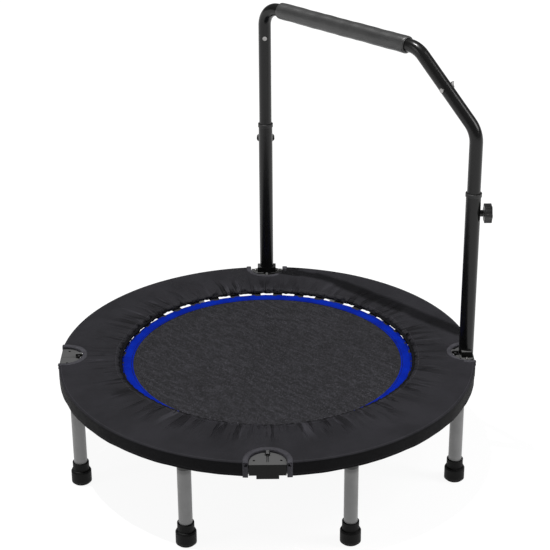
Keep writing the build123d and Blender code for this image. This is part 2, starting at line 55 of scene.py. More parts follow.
# ------------------------------------------------------------------ sizes, read off the frame
pad_low, pad_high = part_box("pad_rear")
ring_radius = max(math.hypot(v.co.x, v.co.y) for v in nodes["pad_rear"].data.vertices)
pad_top = pad_high.z
skirt_bottom = pad_low.z
mat_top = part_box("mat_border_rear")[0].z
border_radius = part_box("mat_border_rear")[1].x
border_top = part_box("mat_border_rear")[1].z

pad_inner = 0.362
pad_width = 0.146
pad_thickness = 0.0098
pad_bottom = pad_top - pad_thickness
# The cover's hem reaches further inwards at the front. Where that begins and is complete is told
# as minus the sine of the bearing.
front_overhang = 0.022
front_start, front_full = 0.2, 0.97
notch_centre = 0.496
notch_radius = 0.044
notch_corner = math.asin(notch_radius / ring_radius)  # half of the angle that a notch takes
border_width = 0.028
spring_count = 40
spring_wire = 0.0011  # radius
webbing_radius = 0.3705  # where the triangle rings' bars lie in the webbing
webbing_z = mat_top - 0.0003
frame_inner = 0.471  # where the springs hook into the frame
frame_z = 0.2205
halves = {"rear": (0, 1), "front": (2, 3)}  # each half's quarters, counted round from the right

rng = np.random.default_rng(7)


# ------------------------------------------------------------------ shader workshop
class Amount:
    """A shader value that takes part in Python arithmetic."""

    def __init__(self, finish, socket):
        self.finish = finish
        self.socket = socket

    def math(self, operation, *others):
        made = self.finish.node("ShaderNodeMath", {"operation": operation}, (self, *others))
        return Amount(self.finish, made.outputs[0])

    def __add__(self, other):
        return self.math("ADD", other)

    def __sub__(self, other):
        return self.math("SUBTRACT", other)

    def __rsub__(self, other):
        return (self * -1.0) + other

    def __mul__(self, other):
        return self.math("MULTIPLY", other)

    def __truediv__(self, other):
        return self.math("DIVIDE", other)

    def __abs__(self):
        return self.math("ABSOLUTE")

    def sine(self):
        return self.math("SINE")

    def whole(self):
        return self.math("FLOOR")

    def fraction(self):
        return self.math("FRACT")

    def least(self, other):
        return self.math("MINIMUM", other)

    def ramp(self, start, end):
        """0 before start, 1 after end, smooth between them."""
        made = self.finish.node(
            "ShaderNodeMapRange",
            {"interpolation_type": "SMOOTHSTEP"},
            {"Value": self, "From Min": start, "From Max": end},
        )
        return Amount(self.finish, made.outputs["Result"])

    __radd__ = __add__
    __rmul__ = __mul__


class Finish:
    """One material, with the nodes that make its surface."""

    def __init__(self, name, colour, roughness, metallic=0.0, specular=0.5):
        self.material = bpy.data.materials.new(name)
        self.material.use_nodes = True
        self.tree = self.material.node_tree
        self.surface = self.tree.nodes["Principled BSDF"]
        self.set(
            **{
                "Base Color": colour,
                "Roughness": roughness,
                "Metallic": metallic,
                "Specular IOR Level": specular,
            }
        )
        place = self.node("ShaderNodeTexCoord").outputs["Object"]
        self.place = place
        parts = self.node("ShaderNodeSeparateXYZ", {}, (place,)).outputs
        self.x, self.y, self.z = (Amount(self, part) for part in parts)

    def node(self, kind, settings=None, sockets=()):
        made = self.tree.nodes.new(kind)
        for name, value in (settings or {}).items():
            setattr(made, name, value)
        filled = sockets.items() if isinstance(sockets, dict) else enumerate(sockets)
        for key, value in filled:
            self.fill(made.inputs[key], value)
        return made

    def fill(self, socket, value):
        if isinstance(value, Amount):
            value = value.socket
        if isinstance(value, bpy.types.NodeSocket):
            self.tree.links.new(value, socket)
        else:
            socket.default_value = value

    def set(self, **sockets):
        for name, value in sockets.items():
            self.fill(self.surface.inputs[name], value)

    def set_base(self, colour):
        self.fill(self.surface.inputs["Base Color"], colour)

    def set_normal(self, normal):
        self.fill(self.surface.inputs["Normal"], normal)

    def fed_by(self, name):
        """What feeds one of the surface's sockets so far."""
        return self.surface.inputs[name].links[0].from_socket

    def stretch(self, x, y, z):
        """The place with each axis scaled."""
        scaled = self.node(
            "ShaderNodeVectorMath", {"operation": "MULTIPLY"}, (self.place, (x, y, z))
        )
        return scaled.outputs[0]

    def noise(self, scale, detail=2.0, roughness=0.5, place=None):
        made = self.node(
            "ShaderNodeTexNoise",
            {},
            {
                "Vector": place or self.place,
                "Scale": scale,
                "Detail": detail,
                "Roughness": roughness,
            },
        )
        return Amount(self, made.outputs["Fac"])

    def cells(self, scale):
        made = self.node("ShaderNodeTexVoronoi", {}, {"Vector": self.place, "Scale": scale})
        return Amount(self, made.outputs["Distance"])

    def radius(self):
        return (self.x * self.x + self.y * self.y).math("SQRT")

    def bearing(self):
        """The angle round the ring, in radians."""
        return self.y.math("ARCTAN2", self.x)

    def facing_up(self):
        normal = self.node("ShaderNodeNewGeometry").outputs["Normal"]
        parts = self.node("ShaderNodeSeparateXYZ", {}, (normal,)).outputs
        return Amount(self, parts[2])

    def blend_colours(self, share, first, second):
        made = self.node("ShaderNodeMix", {"data_type": "RGBA"}, {0: share, 6: first, 7: second})
        return made.outputs[2]

    def bump(self, height, distance, strength=1.0, over=None):
        sockets = {"Height": height, "Distance": distance, "Strength": strength}
        if over is not None:
            sockets["Normal"] = over
        return self.node("ShaderNodeBump", {}, sockets).outputs["Normal"]


def grey(level, warmth=0.0):
    return (level * (1 + warmth), level, level * (1 - warmth), 1.0)


def cool(level):
    """A dark grey with the blue cast of dyed black polyester."""
    return (level * 1.03, level, level * 1.17, 1.0)


def cover_cloth(name, level, specular):
    """Coated oxford cloth: a fine plain weave under a matt coat, scuffed a little lighter."""
    cloth = Finish(name, cool(level), 0.6, specular=specular)
    thread = 2 * math.pi / 0.0009
    weave = (cloth.x * thread).sine() * (cloth.y * thread).sine()
    upright = (cloth.bearing() * (thread * ring_radius)).sine() * (cloth.z * thread).sine()
    top = abs(cloth.facing_up()).ramp(0.5, 0.8)
    threads = weave * top + upright * (1.0 - top)
    cloudy = cloth.noise(9.0, 4.0, 0.6)
    scuffs = cloth.noise(70.0, 6.0, 0.7).ramp(0.58, 0.75)
    creases = cloth.noise(38.0, 3.0, 0.5)
    shade = cloudy.ramp(0.3, 0.7) * 0.75 + scuffs * 0.25
    cloth.set_base(cloth.blend_colours(shade, cool(level * 0.82), cool(level * 1.3)))
    cloth.set(Roughness=0.5 + cloudy * 0.2 - scuffs * 0.06)
    soft = cloth.bump(creases, 0.0025, 0.35)
    cloth.set_normal(cloth.bump(threads, 0.00012, 0.5, over=soft))
    return cloth


def stitched(cloth, distance_from_line, along, level):
    """Adds a row of lockstitches, 1 mm wide and 4 mm apart, where distance_from_line is 0."""
    on_line = 1.0 - abs(distance_from_line).ramp(0.0003, 0.0007)
    stitch = abs((along / 0.004).fraction() - 0.5).ramp(0.4, 0.5)
    thread = on_line * (1.0 - stitch)
    base = cloth.fed_by("Base Color")
    cloth.set_base(cloth.blend_colours(thread, base, cool(level)))
    under = cloth.fed_by("Normal")
    pucker = thread - (1.0 - abs(distance_from_line).ramp(0.0, 0.003)) * 0.8
    cloth.set_normal(cloth.bump(pucker, 0.0008, 0.8, over=under))


def crease_shade_and_highlight(cloth, radius, from_hem):
    """Paints shade into the cloth along uneven creases that run outwards from the elastic hem and
    dents it there, and paints highlights on the ridges beside them.
    """
    drawn = cloth.node(
        "ShaderNodeCombineXYZ",
        {},
        (cloth.x / radius, cloth.y / radius, radius * 0.35),
    ).outputs[0]
    reach = 1.0 - from_hem.ramp(0.012, 0.105)
    fine = cloth.noise(24.0, 3.0, 0.5, place=drawn).ramp(0.48, 0.64)
    broad = cloth.noise(6.0, 2.0, 0.5, place=drawn).ramp(0.40, 0.56)
    crease = fine * reach * (broad * 0.7 + 0.3)
    base = cloth.fed_by("Base Color")
    ridge_highlight = (1.0 - cloth.noise(21.0, 2.0, 0.5, place=drawn).ramp(0.32, 0.42)) * reach * broad
    # Painted shade darkens the creases; painted highlight lightens the ridges beside them.
    base = cloth.blend_colours(crease * 0.7, base, cool(0.004))
    cloth.set_base(cloth.blend_colours(ridge_highlight * 0.6, base, cool(0.045)))
    under = cloth.fed_by("Normal")
    cloth.set_normal(cloth.bump(1.0 - crease, 0.006, 1.0, over=under))


def make_pad_cloth():
    cloth = cover_cloth("pad_cloth", 0.0165, 0.08)
    radius = cloth.radius()
    slipped = (cloth.y * -1.0 / radius).ramp(front_start, front_full)
    from_hem = radius + slipped * front_overhang - pad_inner
    crease_shade_and_highlight(cloth, radius, from_hem)
    along = cloth.bearing() * ring_radius
    stitched(cloth, from_hem - 0.009, along, 0.045)
    stitched(cloth, radius - (ring_radius - 0.006), along, 0.045)
    return cloth


def make_skirt_cloth():
    # The pad's cloth at a much darker level (0.0045 against 0.0165): painted shade for the
    # upright skirt and the hem casing.
    cloth = cover_cloth("shaded_skirt_cloth", 0.0045, 0.06)
    along = cloth.bearing() * ring_radius
    stitched(cloth, cloth.z - (skirt_bottom + 0.006), along, 0.02)
    return cloth


def make_binding_tape():
    """Folded twill tape, sewn round the cut edges."""
    tape = Finish("binding_tape", cool(0.085), 0.75, specular=0.2)
    ribs = ((tape.x + tape.y + tape.z) * (2 * math.pi / 0.0014)).sine()
    fuzz = tape.noise(500.0, 3.0)
    patches = tape.noise(30.0, 3.0).ramp(0.35, 0.7)
    tape.set_base(
        tape.blend_colours(patches * 0.6 + ribs * 0.15, cool(0.036), cool(0.066))
    )
    tape.set(Roughness=0.7 + fuzz * 0.2)
    tape.set_normal(tape.bump(ribs + fuzz * 0.6, 0.00025, 0.7))
    return tape


def make_mat_mesh():
    """Woven polypropylene: flat ribbons, glossy where they rise, with pinholes between. The
    ribbons' crowns are painted lighter as painted shading of the weave, and small glints are
    painted on as painted highlights.
    """
    mesh = Finish("mat_mesh", cool(0.03), 0.5, specular=0.2)
    ribbon = 0.0019
    ribbons_each_metre = 0.70711 / ribbon  # counted along the diagonals
    across = (mesh.x + mesh.y) * ribbons_each_metre
    along = (mesh.y - mesh.x) * ribbons_each_metre
    over = ((across.whole() + along.whole()) * 0.5).fraction() * 2.0
    u = abs(across.fraction() - 0.5) * 2.0
    v = abs(along.fraction() - 0.5) * 2.0
    crown = (1.0 - u * u) * over + (1.0 - v * v) * (1.0 - over)
    hole = u.ramp(0.72, 0.86) * v.ramp(0.72, 0.86)
    drift = mesh.noise(7.0, 3.0).ramp(0.3, 0.7)
    grain = mesh.noise(260.0, 2.0, 0.7).ramp(0.35, 0.65)
    painted_glint = mesh.noise(420.0, 2.0, 0.7).ramp(0.58, 0.66)
    diagonal = mesh.node(
        "ShaderNodeCombineXYZ", {}, ((mesh.x - mesh.y) * 0.5, (mesh.x + mesh.y) * 2.2, 0.0)
    ).outputs[0]
    slubs = mesh.noise(34.0, 3.0, 0.6, place=diagonal).ramp(0.47, 0.58)
    # The crown term paints the ribbons lighter where they rise and darker where they dip: painted
    # shading of the weave.
    shade = crown * 0.3 + drift * 0.15 + grain * 0.55
    base = mesh.blend_colours(shade * (0.4 + slubs * 0.6), cool(0.0045), cool(0.028))
    # Painted highlights: small bright glints painted into the colour.
    mesh.set_base(mesh.blend_colours(painted_glint * 0.55, base, cool(0.11)))
    mesh.set(Roughness=0.62 - crown * 0.22)
    mesh.set(Alpha=1.0 - hole * 0.9)
    mesh.set_normal(mesh.bump(crown + grain * 0.3, 0.0004, 0.6))
    return mesh


def make_border_webbing():
    """Blue polyester webbing with twill ribs and two rows of stitching."""
    webbing = Finish("border_webbing", (0.001, 0.012, 0.26, 1.0), 0.6, specular=0.03)
    radius = webbing.radius()
    along = webbing.bearing() * border_radius
    ribs = ((along + radius * 0.6) * (2 * math.pi / 0.0022)).sine()
    cords = (radius * (2 * math.pi / 0.0016)).sine()
    patches = webbing.noise(25.0, 4.0).ramp(0.3, 0.7)
    webbing.set_base(
        webbing.blend_colours(
            patches * 0.7 + ribs * 0.15,
            (0.0006, 0.010, 0.21, 1.0),
            (0.0012, 0.018, 0.31, 1.0),
        )
    )
    webbing.set(Roughness=0.5 + patches * 0.2)
    webbing.set_normal(webbing.bump(ribs * 0.6 + cords * 0.4, 0.0003, 0.6))
    for inset in (0.004, border_width - 0.004):
        stitched(webbing, radius - (border_radius - inset), along, 0.01)
    return webbing


def make_black_webbing():
    webbing = Finish("black_webbing", cool(0.012), 0.7, specular=0.25)
    ribs = (webbing.radius() * (2 * math.pi / 0.0018)).sine()
    cords = (webbing.bearing() * (webbing_radius * 2 * math.pi / 0.0016)).sine()
    fuzz = webbing.noise(400.0, 3.0)
    webbing.set_base(webbing.blend_colours(ribs * 0.3 + fuzz * 0.6, cool(0.006), cool(0.028)))
    webbing.set(Roughness=0.65 + fuzz * 0.2)
    webbing.set_normal(webbing.bump(ribs * 0.5 + cords * 0.5, 0.0003, 0.6))
    return webbing


def powder_coat(name, level, roughness, warmth=0.0, peel=0.35, specular=0.5):
    """Baked powder coat: fine orange peel, cloudy gloss and tiny dull specks."""
    coat = Finish(name, grey(level, warmth), roughness, specular=specular)
    cloudy = coat.noise(14.0, 4.0, 0.6)
    peel_height = coat.noise(420.0, 2.0, 0.5)
    specks = coat.noise(1500.0, 1.0).ramp(0.66, 0.74)
    handled = coat.noise(45.0, 5.0, 0.7).ramp(0.55, 0.8)
    coat.set_base(
        coat.blend_colours(
            cloudy.ramp(0.3, 0.7) * 0.6 + handled * 0.25 + specks * 0.15,
            grey(level * 0.88, warmth),
            grey(level * 1.22, warmth),
        )
    )
    coat.set(Roughness=roughness - 0.05 + cloudy * 0.1 + handled * 0.05)
    coat.set_normal(coat.bump(peel_height, 0.0003, peel))
    return coat


def make_leg_paint():
    """Satin grey coat with the skirt's shadow painted as a darker band at the top, scratched
    above the foot and lighter towards the bottom.
    """
    coat = powder_coat("leg_paint", 0.185, 0.38)
    base = coat.fed_by("Base Color")
    # Painted shadow: the top of the leg, under the skirt, is darkened.
    skirt_shadow = coat.z.ramp(0.186, 0.197) * 0.55
    streaks = coat.noise(60.0, 6.0, 0.75, place=coat.stretch(8.0, 8.0, 1.0)).ramp(0.62, 0.8)
    # Lighter towards the bottom, just above the foot.
    paler_towards_foot = (1.0 - coat.z.ramp(0.057, 0.075)) * 0.35
    shadowed_and_worn = coat.blend_colours(skirt_shadow, base, grey(0.04))
    shadowed_and_worn = coat.blend_colours((streaks * 0.3 + paler_towards_foot * 0.5).least(1.0), shadowed_and_worn, grey(0.26))
    coat.set_base(shadowed_and_worn)
    return coat


def make_foot_rubber():
    """Moulded rubber with a thin lighter ring line near the floor, and dust on the sole."""
    rubber = Finish("foot_rubber", grey(0.003), 0.5, specular=0.14)
    # A thin ring low on the foot, coloured lighter and raised a little by the bump.
    line = 1.0 - abs(rubber.z - 0.0085).ramp(0.0004, 0.0012)
    dust = (1.0 - rubber.z.ramp(0.0, 0.014)) * rubber.noise(160.0, 4.0).ramp(0.4, 0.7)
    mottle = rubber.noise(90.0, 4.0)
    base = rubber.blend_colours(mottle.ramp(0.3, 0.7), grey(0.002), grey(0.005))
    rubber.set_base(rubber.blend_colours((line * 0.5 + dust * 0.4).least(1.0), base, grey(0.03)))
    rubber.set(Roughness=0.5 + mottle * 0.2)
    rubber.set_normal(rubber.bump(rubber.noise(700.0, 3.0) + line * 2.0, 0.0002, 0.6))
    return rubber


def plated_steel(name, level, roughness, warmth):
    """Zinc plating: spangled brightness with fine drawing lines and dull spots."""
    steel = Finish(name, grey(level, warmth), roughness, metallic=1.0)
    spangle = steel.cells(160.0)
    tarnish = steel.noise(60.0, 5.0, 0.65).ramp(0.5, 0.75)
    steel.set_base(
        steel.blend_colours(
            (spangle * 0.6 + tarnish * 0.5).least(1.0),
            grey(level * 1.1, warmth),
            grey(level * 0.6, warmth + 0.03),
        )
    )
    steel.set(Roughness=roughness + tarnish * 0.2)
    steel.set_normal(steel.bump(steel.noise(900.0, 2.0), 0.0001, 0.5))
    return steel


def make_bracket_paint():
    """Satin coat on the folded steel brackets, painted lighter on faces that look upwards as
    painted light from above, bright where the edges chip.
    """
    coat = powder_coat("bracket_paint", 0.006, 0.45, specular=0.15)
    base = coat.fed_by("Base Color")
    # Painted light: faces that look upwards are lightened towards mid grey.
    base = coat.blend_colours(coat.facing_up().ramp(0.6, 0.9), base, grey(0.075))
    chips = coat.noise(240.0, 4.0, 0.7).ramp(0.72, 0.78)
    coat.set_base(coat.blend_colours(chips * 0.5, base, grey(0.2)))
    return coat


def make_foam():
    """Closed-cell foam: fine pits and a faint skin."""
    foam = Finish("grip_foam", grey(0.02), 0.35, specular=0.7)
    pits = foam.cells(1100.0)
    cloudy = foam.noise(22.0, 4.0, 0.6).ramp(0.3, 0.7)
    foam.set_base(foam.blend_colours(cloudy * 0.7 + pits * 0.3, grey(0.022), grey(0.04)))
    foam.set(Roughness=0.34 + pits * 0.1)
    foam.set_normal(foam.bump(pits + cloudy * 0.4, 0.0003, 0.35))
    return foam


def make_moulded_plastic():
    plastic = Finish("moulded_plastic", grey(0.012), 0.45)
    spark = plastic.noise(650.0, 3.0, 0.6)
    cloudy = plastic.noise(40.0, 3.0)
    plastic.set_base(plastic.blend_colours(cloudy.ramp(0.3, 0.7), grey(0.009), grey(0.018)))
    plastic.set(Roughness=0.38 + spark * 0.2)
    plastic.set_normal(plastic.bump(spark, 0.0002, 0.6))
    return plastic


# ------------------------------------------------------------------ mesh workshop
def new_piece(name, points, faces, finish, smooth=True):
    mesh = bpy.data.meshes.new(name)
    mesh.from_pydata([tuple(p) for p in points], [], [tuple(f) for f in faces])
    mesh.update()
    if smooth:
        mesh.shade_smooth()
    else:
        mesh.shade_flat()
    mesh.materials.append(finish.material)
    piece = bpy.data.objects.new(name, mesh)
    bpy.context.scene.collection.objects.link(piece)
    return piece


def grid_faces(rows, columns, close_rows, close_columns, start=0):
    """Quads over a grid of points, row after row, wrapping where asked."""
    faces = []
    for i in range(rows if close_rows else rows - 1):
        a, b = i * columns, (i + 1) % rows * columns
        for j in range(columns if close_columns else columns - 1):
            k = (j + 1) % columns
            faces.append((start + a + j, start + a + k, start + b + k, start + b + j))
    return faces


class Shell:
    """Collects grids of points that become one piece."""

    def __init__(self):
        self.points = []
        self.faces = []

    def grid(self, block, close_rows, close_columns, flip=False):
        rows, columns = block.shape[:2]
        faces = grid_faces(rows, columns, close_rows, close_columns, len(self.points))
        self.faces += [f[::-1] for f in faces] if flip else faces
        self.points += list(block.reshape(-1, 3))

    def cap(self, loop, flip=False):
        """Closes the end of a tube with a fan about its middle."""
        start = len(self.points)
        self.points += list(loop) + [loop.mean(0)]
        count = len(loop)
        for j in range(count):
            face = (start + j, start + (j + 1) % count, start + count)
            self.faces.append(face[::-1] if flip else face)

    def swept(self, section_loops):
        """A closed section carried along a path: rows are the path, columns the section."""
        self.grid(section_loops, False, True)
        self.cap(section_loops[0], flip=True)
        self.cap(section_loops[-1])

    def piece(self, name, finish, slot):
        made = new_piece(name, self.points, self.faces, finish)
        weld(made)
        return made


def weld(piece):
    """Joins the points that lie on each other and turns every face outwards."""
    work = bmesh.new()
    work.from_mesh(piece.data)
    bmesh.ops.remove_doubles(work, verts=work.verts, dist=1e-6)
    bmesh.ops.recalc_face_normals(work, faces=work.faces)
    work.to_mesh(piece.data)
    work.free()


def turned(points, angle):
    c, s = math.cos(angle), math.sin(angle)
    turn = np.array([[c, -s, 0], [s, c, 0], [0, 0, 1]])
    return points @ turn.T


def tube(path, radius, sides=8):
    """Section loops of a round wire along a path of points."""
    ahead = np.gradient(path, axis=0)
    ahead /= np.linalg.norm(ahead, axis=1)[:, None]
    normal = np.cross(ahead[0], (0.31, 0.17, 0.93))
    loops = []
    turn = np.linspace(0, 2 * math.pi, sides, endpoint=False)
    for place, way in zip(path, ahead):
        normal = normal - way * (normal @ way)
        normal /= np.linalg.norm(normal)
        side = np.cross(way, normal)
        ring = np.cos(turn)[:, None] * normal + np.sin(turn)[:, None] * side
        loops.append(place + radius * ring)
    return np.array(loops)


# ------------------------------------------------------------------ padded ring
def notch_outline():
    """The pad's outer edge about a notch at +X, from -45 to +45 degrees: (x, y) points."""
    reach = ring_radius - 0.0006
    corner = math.asin(notch_radius / reach)
    outer = np.linspace(math.radians(45), corner, 108)
    arc = np.stack([reach * np.cos(outer), reach * np.sin(outer)], 1)
    side = np.stack(
        [np.linspace(arc[-1, 0], notch_centre, 5)[1:], np.full(4, notch_radius)], 1
    )
    bend = np.linspace(math.pi / 2, math.pi, 40)[1:]
    cut = np.stack(
        [notch_centre + notch_radius * np.cos(bend), notch_radius * np.sin(bend)], 1
    )
    half = np.concatenate([arc, side, cut])
    return np.concatenate([half, half[-2::-1] * (1, -1)])[::-1]


def hem_radius(angle):
    """The inner hem's radius: the cover has slipped inwards over the border at the front."""
    share = np.clip((-np.sin(angle) - front_start) / (front_full - front_start), 0, 1)
    return pad_inner - front_overhang * share * share * (3 - 2 * share)


def pad_columns():
    """Inner and outer ends of the pad's columns all the way round, and the inner ends' angles."""
    outline = notch_outline()
    angle = np.arctan2(outline[:, 1], outline[:, 0])
    spread = math.radians(12)
    near = np.where(np.abs(angle) < spread)[0]
    first, last = near[0], near[-1]
    step = np.linalg.norm(np.diff(outline[first : last + 1], axis=0), axis=1)
    share = np.concatenate([[0], np.cumsum(step)]) / step.sum()
    inner_angle = angle.copy()
    inner_angle[first : last + 1] = angle[first] + share * (angle[last] - angle[first])
    ends, angles = [], []
    for quarter in range(4):
        about = quarter * math.pi / 2
        flat = np.column_stack([outline, np.zeros(len(outline))])
        ends.append(turned(flat, about)[:-1])
        angles.append(inner_angle[:-1] + about)
    return np.concatenate(ends), np.concatenate(angles)


def gathers(bearing, depth):
    """Height of the cloth's gathers: narrow folds that start at the elastic hem and die out."""
    height = np.zeros_like(bearing)
    count = 124
    starts = (np.arange(count) + rng.uniform(-0.42, 0.42, count)) * (2 * math.pi / count)
    for start in starts:
        size = rng.uniform(0.0012, 0.0056)
        reach = rng.uniform(0.03, 0.10) * (1.0 if rng.random() < 0.75 else 1.3)
        width = rng.uniform(0.0026, 0.0068)
        lean = rng.normal(0.0, 0.25)
        offset = (bearing - start + math.pi) % (2 * math.pi) - math.pi
        offset = offset * (pad_inner + depth) - lean * depth
        wide = width * (1 + depth / 0.028)
        fade = np.clip(1 - depth / reach, 0, 1) ** 1.3
        height += size * fade * np.exp(-((offset / wide) ** 2))
    return height


def slow_wave(bearing, depth):
    """Slack in the cloth: long shallow waves that run outwards to the seam."""
    height = np.zeros_like(bearing)
    for waves, size in ((9, 0.0005), (17, 0.0005), (31, 0.0004), (47, 0.0003)):
        phase, lean = rng.uniform(0, 2 * math.pi), rng.uniform(-6, 6)
        height += size * np.sin(waves * bearing + phase + lean * depth / pad_width)
    return height


def rounded(distance, radius):
    """How far a rounded edge drops at a distance in from it."""
    d = np.clip(distance, 0, radius)
    return radius - np.sqrt(np.maximum(radius**2 - (radius - d) ** 2, 0))


def cover_top(inner, outer, hem_line):
    """The cover's upper face: rows from the hem to the outer edge, close together at both."""
    from_hem = np.array([0, 0.0003, 0.001, 0.0022, 0.004, 0.0065, 0.0095, 0.013, 0.017, 0.0215])
    from_edge = np.array([0.0185, 0.011, 0.0062, 0.0032, 0.0016, 0.0006, 0.0001, 0])
    share_in = from_hem / pad_width
    share_out = 1 - from_edge / pad_width
    middle = np.linspace(share_in[-1], share_out[0], 26)[1:-1]
    share = np.concatenate([share_in, middle, share_out])[:, None, None]
    top = inner[None] + share * (outer - inner)[None]
    length = np.linalg.norm(outer - inner, axis=1)[None]
    depth = np.hypot(top[..., 0], top[..., 1]) - hem_line[None]
    to_outer = (1 - share[..., 0]) * length
    to_inner = share[..., 0] * length
    bearing = np.arctan2(top[..., 1], top[..., 0])
    hem_round, edge_round = 0.0055, 0.0022
    height = np.full_like(depth, pad_top - 0.0006)
    height -= rounded(to_inner, hem_round) + rounded(to_outer, edge_round)
    # The folds fade out at the outer edge and are held down at the hem.
    settle = np.clip(to_outer / 0.02, 0, 1) * np.clip(0.3 + to_inner / 0.01, 0, 1)
    folds = gathers(bearing, np.maximum(depth, 0))
    hem_dip, crown = 0.0025, 0.0012
    near_hem = np.exp(-np.maximum(depth, 0) / 0.05)
    height += settle * (folds - hem_dip * near_hem + slow_wave(bearing, depth))
    height += settle * crown * np.sin(math.pi * np.clip(to_inner / pad_width, 0, 1))
    top[..., 2] = height
    # A fold draws the hem's edge outwards with it.
    pull = np.exp(-to_inner / 0.006) * (folds - 0.0015) * 0.8
    radius = np.hypot(top[..., 0], top[..., 1])
    top[..., :2] += (pull / radius)[..., None] * top[..., :2]
    return top


def make_pad_cover(cloth):
    """The cover of both halves: top, outer wall, underside and hem as one closed skin."""
    outer, inner_angle = pad_columns()
    hem_line = hem_radius(inner_angle)
    inner = np.stack(
        [hem_line * np.cos(inner_angle), hem_line * np.sin(inner_angle), 0 * inner_angle], 1
    )
    top = cover_top(inner, outer, hem_line)
    share = np.array([1.0, 0.985, 0.8, 0.5, 0.25, 0.1, 0.03, 0.0])[:, None, None]
    below = inner[None] + share * (outer - inner)[None]
    below[..., 2] = pad_bottom
    wall = np.repeat(outer[None], 3, axis=0)
    wall[..., 2] = np.array([pad_top - 0.0035, pad_top - 0.006, pad_bottom + 0.0012])[:, None]
    hem = np.repeat(inner[None], 2, axis=0)
    hem[..., 2] = np.array([pad_bottom + 0.0015, pad_bottom + 0.0035])[:, None]
    shell = Shell()
    shell.grid(np.concatenate([top, wall, below, hem]), True, True)
    cover = shell.piece("pad_cover", cloth, "pad_cover")
    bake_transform(cover)
    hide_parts("pad_rear", "pad_front")


def make_hem_casing(cloth):
    """The elastic casing inside the cover's inner hem, tucked under the hem at the rear. It is a
    dark strip in the darker skirt cloth that fills the gap between hem and border where only
    shadow shows: painted shade.
    """
    fine = 0.07  # the points lie closer together this far from the fold line, in radians
    half_way = np.concatenate(
        [np.linspace(-fine, fine, 40), np.linspace(fine, math.pi - fine, 420)[1:-1]]
    )
    angles = np.concatenate([half_way, half_way + math.pi])
    turn = np.linspace(0, 2 * math.pi, 12, endpoint=False)
    phases = rng.uniform(0, 2 * math.pi, 4)
    casing_z = 0.2372
    loops = []
    for angle in angles:
        from_rear = abs((angle - math.pi / 2 + math.pi) % (2 * math.pi) - math.pi)
        tucked = 1 - min(1.0, max(0.0, (from_rear - 0.80) / 0.2))
        tucked = tucked * tucked * (3 - 2 * tucked)
        pucker = 0.0005 * math.sin(angle * 97 + phases[0])
        pucker += 0.0004 * math.sin(angle * 171 + phases[1])
        sway = 0.0004 * math.sin(angle * 43 + phases[2])
        middle = hem_radius(angle) - 0.0032 + 0.0042 * tucked
        height = casing_z - 0.0008 * tucked
        wide = 0.0043 - 0.0013 * tucked + pucker
        tall = 0.0036 - 0.0016 * tucked + pucker
        ring = []
        for a in turn:
            radius = middle + wide * math.cos(a)
            z = height + tall * math.sin(a) + sway
            ring.append((radius * math.cos(angle), radius * math.sin(angle), z))
        loops.append(ring)
    shell = Shell()
    shell.grid(np.array(loops), True, True)
    casing = shell.piece("hem_shade_casing", cloth, "pad_cover")
    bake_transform(casing)


def box_piece(name, low, high, finish):
    left_right, front_back, down_up = zip(low, high)
    points = [(x, y, z) for x in left_right for y in front_back for z in down_up]
    faces = [(0, 1, 3, 2), (4, 6, 7, 5), (0, 4, 5, 1), (2, 3, 7, 6), (0, 2, 6, 4), (1, 5, 7, 3)]
    return new_piece(name, points, faces, finish, smooth=False)


def make_slit_filler(paint):
    """A strip that closes the slit where the front bracket's two leaves meet, up to the pin."""
    leaf_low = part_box("hinge_leaf_front_left")[0]
    pin_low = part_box("hinge_pin_front")[0]
    half_width, inset = 0.00038, 0.0002
    filler = box_piece(
        "front_bracket_filler",
        (-half_width, leaf_low.y + inset, leaf_low.z + inset),
        (half_width, pin_low.y - 0.0005, pad_top - 0.0061),
        paint,
    )
    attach(filler, "front_half")


def skirt_section(wave):
    """The skirt's section at one place: (radius, height) pairs round a folded cloth strip."""
    out = ring_radius - 0.0003
    low = skirt_bottom
    return [
        (out - 0.0024, pad_top - 0.0012),
        (out - 0.0009, pad_top - 0.0016),
        (out - 0.0001, pad_top - 0.0034),
        (out, pad_top - 0.008),
        (out + wave * 0.5, (pad_top + low) / 2),
        (out + wave, low + 0.008),
        (out + wave, low + 0.0066),
        (out + wave * 1.1, low + 0.003),
        (out + wave - 0.0003, low + 0.0006),
        (out + wave - 0.0012, low),
        (out + wave - 0.0022, low + 0.0006),
        (out + wave - 0.0025, low + 0.003),
        (out + wave - 0.0024, low + 0.008),
        (out - 0.0024 + wave * 0.5, (pad_top + low) / 2),
        (out - 0.0026, pad_top - 0.008),
        (out - 0.0028, pad_top - 0.003),
    ]


def make_skirts(cloth):
    for half, quarters in halves.items():
        shell = Shell()
        for quarter in quarters:
            start = quarter * math.pi / 2 + notch_corner
            end = (quarter + 1) * math.pi / 2 - notch_corner
            angles = np.linspace(start, end, 130)
            phases = rng.uniform(0, 2 * math.pi, 3)
            loops = []
            for angle in angles:
                quiet = min(1.0, (angle - start) / 0.1, (end - angle) / 0.1)
                wave = 0.0009 * quiet * (
                    math.sin(angle * 24 + phases[0]) * 0.5
                    + math.sin(angle * 41 + phases[1]) * 0.3
                    + math.sin(angle * 67 + phases[2]) * 0.2
                )
                ring = [
                    (r * math.cos(angle), r * math.sin(angle), z)
                    for r, z in skirt_section(wave)
                ]
                loops.append(ring)
            shell.swept(np.array(loops))
        skirt = shell.piece(f"pad_skirt_{half}", cloth, "pad_cover")
        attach(skirt, f"{half}_half")


def notch_path():
    """The notch's cut edge at +X with the way into the pad at each point."""
    reach = ring_radius - 0.0008
    straight = np.linspace(reach, notch_centre, 6)[:-1]
    bend = np.linspace(math.pi / 2, 3 * math.pi / 2, 57)
    points = [(x, notch_radius, 0.0, 1.0) for x in straight]
    points += [
        (
            notch_centre + notch_radius * math.cos(a),
            notch_radius * math.sin(a),
            math.cos(a),
            math.sin(a),
        )
        for a in bend
    ]
    points += [(x, -notch_radius, 0.0, -1.0) for x in straight[::-1]]
    return points


